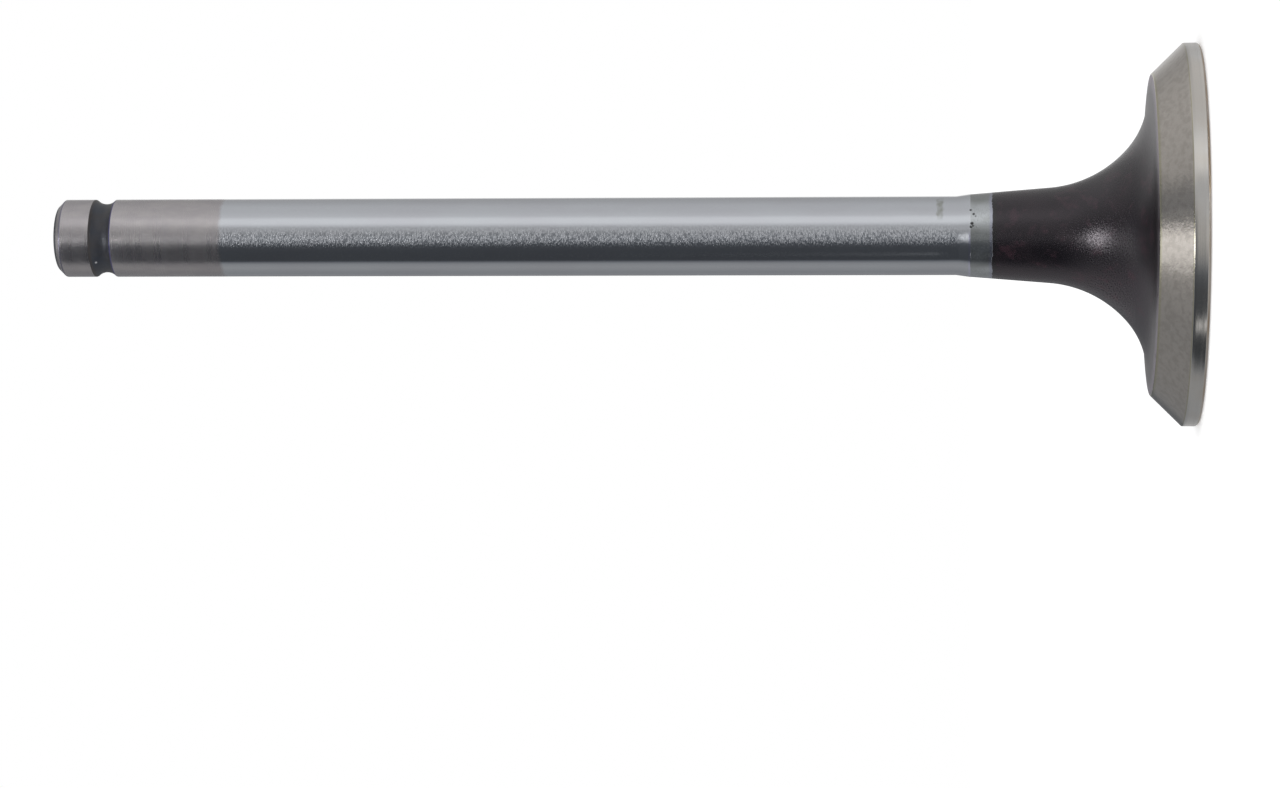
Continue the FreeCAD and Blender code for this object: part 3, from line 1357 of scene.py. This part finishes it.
    def dress(self, body: bpy.types.Object, effects: Effects) -> None:
        """Give each zone its finish, hang the valve on the fixed body, and hide the CAD model's part.

        Args:
            body: The valve's mesh.
            effects: The shared effects.
        """
        finishes = {
            Zone.STEM: StemFinish(), Zone.TULIP: TulipFinish(), Zone.GROOVE: GrooveFinish(),
            Zone.TIP: TipFinish(), Zone.SEAT: SeatFinish(), Zone.RIM: RimFinish(), Zone.FACE: FaceFinish()}
        body.data.materials.clear()
        for zone in Zone:
            body.data.materials.append(finishes[zone].dress(effects))
        for face in body.data.polygons:
            face.material_index = self.zone_at(face.center).value
        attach(body, FIXED_BODY)
        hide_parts(VALVE_NODE)

    def zone_at(self, spot: Vector) -> Zone:
        """Tell the zone of a place on the surface.

        Args:
            spot: The place.

        Returns:
            Its zone.
        """
        across = math.hypot(spot.x, spot.y)
        if spot.z > self.rings["chamfer_foot"][1] - self.tip_lip:
            return Zone.TIP
        if spot.z > self.stem_zone_foot:
            lip = self.groove_lip
            in_groove = self.rings["groove_foot"][1] - lip < spot.z < self.rings["groove_top"][1] + lip
            return Zone.GROOVE if in_groove else Zone.STEM
        in_dish = across < self.dish_radius and spot.z < self.dish_depth * 1.1
        if in_dish or spot.z < self.face_chamfer * 0.3:
            return Zone.FACE
        if spot.z < self.rings["margin_top"][1]:
            return Zone.RIM
        seat_across, seat_height = self.rings["seat_top"]
        if spot.z < seat_height + 0.02 * MM and across > seat_across - 0.1 * MM:
            return Zone.SEAT
        return Zone.TULIP


@dataclass
class PhotoCamera:
    """The photograph's camera, fitted to the valve's outline."""

    place: Triple = (0.0, -0.35617, 0.02521)
    ahead: Triple = (-0.04470, 0.99526, 0.08632)
    upward: Triple = (0.99900, 0.04480, 0.00079)
    lens: float = 98.92
    sensor: float = 36.0
    nearest: float = 0.01
    farthest: float = 100.0

    def build(self) -> None:
        """Set the camera up."""
        data = bpy.data.cameras.new("photo_camera")
        data.lens = self.lens
        data.sensor_width = self.sensor
        data.sensor_fit = "HORIZONTAL"
        data.clip_start = self.nearest
        data.clip_end = self.farthest
        camera = bpy.data.objects.new("photo_camera", data)
        bpy.context.scene.collection.objects.link(camera)
        ahead = Vector(self.ahead).normalized()
        side = ahead.cross(Vector(self.upward)).normalized()
        turned = Matrix((side, side.cross(ahead), -ahead)).transposed()
        camera.matrix_world = Matrix.Translation(self.place) @ turned.to_4x4()
        bpy.context.scene.camera = camera


@dataclass
class Studio:
    """A white table in a white room, and the tent of soft grey cards that the bare steel mirrors."""

    floor_size: float = 6.0
    floor_drop: float = 0.05 * MM
    floor_colour: float = 0.80
    floor_fill: float = 0.34
    tent_radius: float = 8.0
    dark_tint: Colour = (0.91, 0.975, 1.08)
    # Grey levels round the stem, by the angle from the camera's side toward -X, in degrees
    stem_cards: tuple[Stop, ...] = (
        (-180, 0.70), (-173, 0.86), (-164, 0.72), (-152, 0.45), (-142, 0.50), (-126, 0.56), (-104, 0.68),
        (-79, 0.72), (-64, 0.80), (-56, 1.0), (-42, 1.02), (-36, 0.84), (-29, 0.58), (-18, 0.58), (-8, 0.35),
        (5, 0.265), (13, 0.21), (21, 0.12), (30, 0.083), (45, 0.072), (75, 0.070), (79.3, 0.235),
        (87, 0.39), (101, 0.43), (117, 0.38), (129, 0.34), (145, 0.33), (157, 0.33), (167, 0.12),
        (176, 0.42), (180, 0.70))
    # The same round the margin, low down
    rim_cards: tuple[Stop, ...] = (
        (-180, 0.58), (-150, 0.60), (-138, 0.66), (-128, 0.77), (-115, 0.84), (-102, 0.80), (-76, 0.80),
        (-60, 0.95), (-54, 1.08), (-40, 1.08), (-34, 0.62), (-28, 0.60), (-18, 0.68), (2, 0.73), (8, 0.60),
        (16, 0.40), (22, 0.15), (30, 0.10), (47, 0.09), (51, 0.15), (54, 1.36), (57.5, 0.85), (60.5, 0.09),
        (66, 0.062), (79, 0.05), (86, 0.17), (92, 0.40), (110, 0.42), (142, 0.38), (160, 0.45), (180, 0.65))
    # Grey levels overhead, across from -X to +X
    top_cards: tuple[Stop, ...] = (
        (-1.0, 0.46), (-0.80, 0.44), (-0.65, 0.34), (-0.50, 0.32), (-0.45, 0.34), (-0.30, 0.38),
        (-0.215, 0.40), (-0.19, 0.90), (-0.165, 1.06), (-0.08, 1.12), (-0.02, 1.36), (0.015, 1.33),
        (0.045, 0.58), (0.06, 0.25), (0.22, 0.235), (0.28, 0.30), (0.34, 0.50), (0.56, 0.58), (0.68, 0.78),
        (0.80, 0.88), (1.0, 0.92))
    # The same farther back, behind the valve
    back_cards: tuple[Stop, ...] = (
        (-1.0, 0.46), (-0.65, 0.34), (-0.50, 0.34), (-0.30, 0.32), (-0.12, 0.36), (0.0, 0.42), (0.22, 0.50),
        (0.34, 0.52), (0.56, 0.55), (0.80, 0.85), (1.0, 0.92))
    # Where one set of cards passes into the next: up from the margin's, up to the overhead ones and down to
    # what lies under the table by the direction's rise, and from overhead to the back by its share along Y
    rim_to_stem: Stop = (-0.062, -0.036)
    stem_to_top: Stop = (0.22, 0.72)
    down_to_under: Stop = (-0.30, -0.55)
    top_to_back: Stop = (0.15, 0.5)
    # The small bright card that glints in the tulip: its direction, its level, and how far it reaches in
    # degrees, from its edge to where it is full
    spot_towards: Triple = (-0.090, -0.583, 0.808)
    spot_level: float = 18.0
    spot_reach: Stop = (9.0, 1.5)
    # The small bright card that glints in the blend above the neck: its angle, its rise and its level, and
    # how far it reaches from its edge to where it is full, sideways in degrees and in rise
    glint_card: Triple = (5.0, 16.4, 1.4)
    glint_width: Stop = (19, 2)
    glint_height: Stop = (0.050, 0.006)
    # Where the lamp under the table lies, along X and Y, how far it reaches and its level
    under_lamp: Quad = (0.240, -0.083, 0.062, 20.0)
    # The share of its reach that it is full over, and the levels beside it, in line with it and aside
    under_core: float = 0.4
    under_levels: Stop = (0.43, 0.72)

    def build(self) -> None:
        """Set up the world, the floor and the tent."""
        self.light_world()
        self.lay_floor()
        self.raise_tent()

    def light_world(self) -> None:
        """Make the room white on every side."""
        world = bpy.data.worlds.new("white_room")
        world.use_nodes = True
        background = world.node_tree.nodes["Background"]
        background.inputs["Color"].default_value = (*WHITE, 1.0)
        background.inputs["Strength"].default_value = 1.0
        bpy.context.scene.world = world

    @staticmethod
    def bare_material(thing: bpy.types.Object, name: str) -> Bench:
        """Give a thing a material without nodes.

        Args:
            thing: The table or the tent.
            name: The material's name.

        Returns:
            The bench of its tree.
        """
        material = bpy.data.materials.new(name)
        material.use_nodes = True
        material.node_tree.nodes.clear()
        thing.data.materials.append(material)
        return Bench(material.node_tree)

    def lay_floor(self) -> None:
        """Lay the pale table that the valve stands on. It is clear from below, so the face can be seen."""
        bpy.ops.object.select_all(action="DESELECT")
        bpy.ops.mesh.primitive_plane_add(size=self.floor_size, location=(0.0, 0.0, -self.floor_drop))
        floor = bpy.context.object
        floor.name = "table_top"
        bench = self.bare_material(floor, "table_white")
        paper = bench.wire("ShaderNodeBsdfDiffuse", {"Color": (self.floor_colour,) * 3})
        glow = bench.wire("ShaderNodeEmission", {"Strength": self.floor_fill})
        lit = bench.wire("ShaderNodeAddShader", {0: paper.outputs[0], 1: glow.outputs[0]})
        clear = bench.node("ShaderNodeBsdfTransparent")
        below = bench.node("ShaderNodeNewGeometry").outputs["Backfacing"]
        choice = bench.wire("ShaderNodeMixShader", {0: below, 1: lit.outputs[0], 2: clear.outputs[0]})
        bench.wire("ShaderNodeOutputMaterial", {"Surface": choice.outputs[0]})
        floor.visible_glossy = False
        floor.visible_diffuse = False
        floor.visible_transmission = False
        floor.visible_shadow = False

    def raise_tent(self) -> None:
        """Raise the tent of cards, which only reflections see."""
        bpy.ops.object.select_all(action="DESELECT")
        bpy.ops.mesh.primitive_uv_sphere_add(segments=64, ring_count=32, radius=self.tent_radius)
        tent = bpy.context.object
        tent.name = "card_tent"
        bpy.ops.object.shade_smooth()
        bench = self.bare_material(tent, "grey_cards")
        aim = bench.vector("NORMALIZE", bench.node("ShaderNodeTexCoord").outputs["Object"])
        level = self.card_level(bench, aim)
        tone = bench.blend(bench.step(level, 0.0, 0.5), self.dark_tint, WHITE)
        glow = bench.wire("ShaderNodeEmission", {"Color": tone, "Strength": level})
        bench.wire("ShaderNodeOutputMaterial", {"Surface": glow.outputs[0]})
        tent.visible_camera = False
        tent.visible_diffuse = False
        tent.visible_transmission = False
        tent.visible_volume_scatter = False
        tent.visible_shadow = False

    def card_level(self, bench: Bench, aim: Socket) -> Socket:
        """The grey level of the cards.

        Args:
            bench: The bench of the cards' material.
            aim: The direction from the valve.

        Returns:
            The level.
        """
        east, north, rise = bench.split(aim)
        turn = bench.math("ARCTAN2", bench.times(east, -1.0), bench.times(north, -1.0))
        turned = bench.math("ADD", bench.math("DIVIDE", turn, 2 * math.pi), 0.5)
        side = bench.math("ADD", bench.times(east, 0.5), 0.5)
        walls, low = (
            bench.ramp(turned, [(angle / 360 + 0.5, level) for angle, level in cards])
            for cards in (self.stem_cards, self.rim_cards))
        # A ramp keeps its levels below 1, so the overhead ones are halved in it and doubled after it
        over, behind = (
            bench.ramp(side, [(place / 2 + 0.5, level / 2) for place, level in cards])
            for cards in (self.top_cards, self.back_cards))
        over = bench.times(bench.mix(bench.step(north, *self.top_to_back), over, behind), 2.0)
        level = bench.mix(bench.step(rise, *self.rim_to_stem), low, walls)
        level = bench.mix(bench.step(rise, *self.stem_to_top), level, over)
        near = bench.vector("DOT_PRODUCT", aim, tuple(Vector(self.spot_towards).normalized()), scalar=True)
        edge, core = (math.cos(math.radians(angle)) for angle in self.spot_reach)
        level = bench.math("ADD", level, bench.step(near, edge, core, 0.0, self.spot_level))
        level = bench.math("ADD", level, self.glint_level(bench, turned, rise))
        beneath = self.under_level(bench, east, north)
        return bench.mix(bench.step(rise, *self.down_to_under), level, beneath)

    def glint_level(self, bench: Bench, turned: Socket, rise: Socket) -> Socket:
        """The grey level of the small card that glints above the neck.

        Args:
            bench: The bench of the cards' material.
            turned: The direction's angle round the axis, from 0 to 1.
            rise: The direction's share along Z.

        Returns:
            The level.
        """
        angle, height, strength = self.glint_card
        off_side = bench.math("ABSOLUTE", bench.math("SUBTRACT", turned, angle / 360 + 0.5))
        off_rise = bench.math("ABSOLUTE", bench.math("SUBTRACT", rise, math.sin(math.radians(height))))
        across = bench.step(off_side, *(width / 360 for width in self.glint_width))
        return bench.times(bench.times(across, bench.step(off_rise, *self.glint_height)), strength)

    def under_level(self, bench: Bench, east: Socket, north: Socket) -> Socket:
        """The grey level of the cards under the table, which the face of the head mirrors.

        Args:
            bench: The bench of the cards' material.
            east: The direction's share along X.
            north: The direction's share along Y.

        Returns:
            The level.
        """
        lamp_x, lamp_y, reach, strength = self.under_lamp
        off = bench.join(bench.math("SUBTRACT", east, lamp_x), bench.math("SUBTRACT", north, lamp_y), 0.0)
        off = bench.vector("LENGTH", off, scalar=True)
        lamp = bench.step(off, reach, reach * self.under_core, 0.0, strength)
        away = math.hypot(lamp_x, lamp_y)
        aside = bench.math("ADD", bench.times(east, -lamp_y / away), bench.times(north, lamp_x / away))
        outward = bench.vector("LENGTH", bench.join(east, north, 0.001), scalar=True)
        turned = bench.math("DIVIDE", bench.math("ABSOLUTE", aside), outward)
        return bench.math("ADD", bench.step(turned, 0.55, 1.0, *self.under_levels), lamp)


def set_view() -> None:
    """Leave the picture's colours as the materials give them."""
    bpy.context.scene.view_settings.view_transform = "Standard"


def main() -> None:
    """Build the scene in order and report each piece."""
    logging.basicConfig(level=logging.INFO, format="%(name)s: %(message)s")
    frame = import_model()
    set_view()
    PhotoCamera().build()
    LOG.info("camera set up")
    Studio().build()
    LOG.info("white table and card tent set up")
    effects = Effects()
    valve = ValveBody.from_frame(frame)
    body = valve.build()
    valve.dress(body, effects)
    LOG.info("%s: %d faces in %d zones", body.name, len(body.data.polygons), len(body.data.materials))


if __name__ == "__main__":
    main()
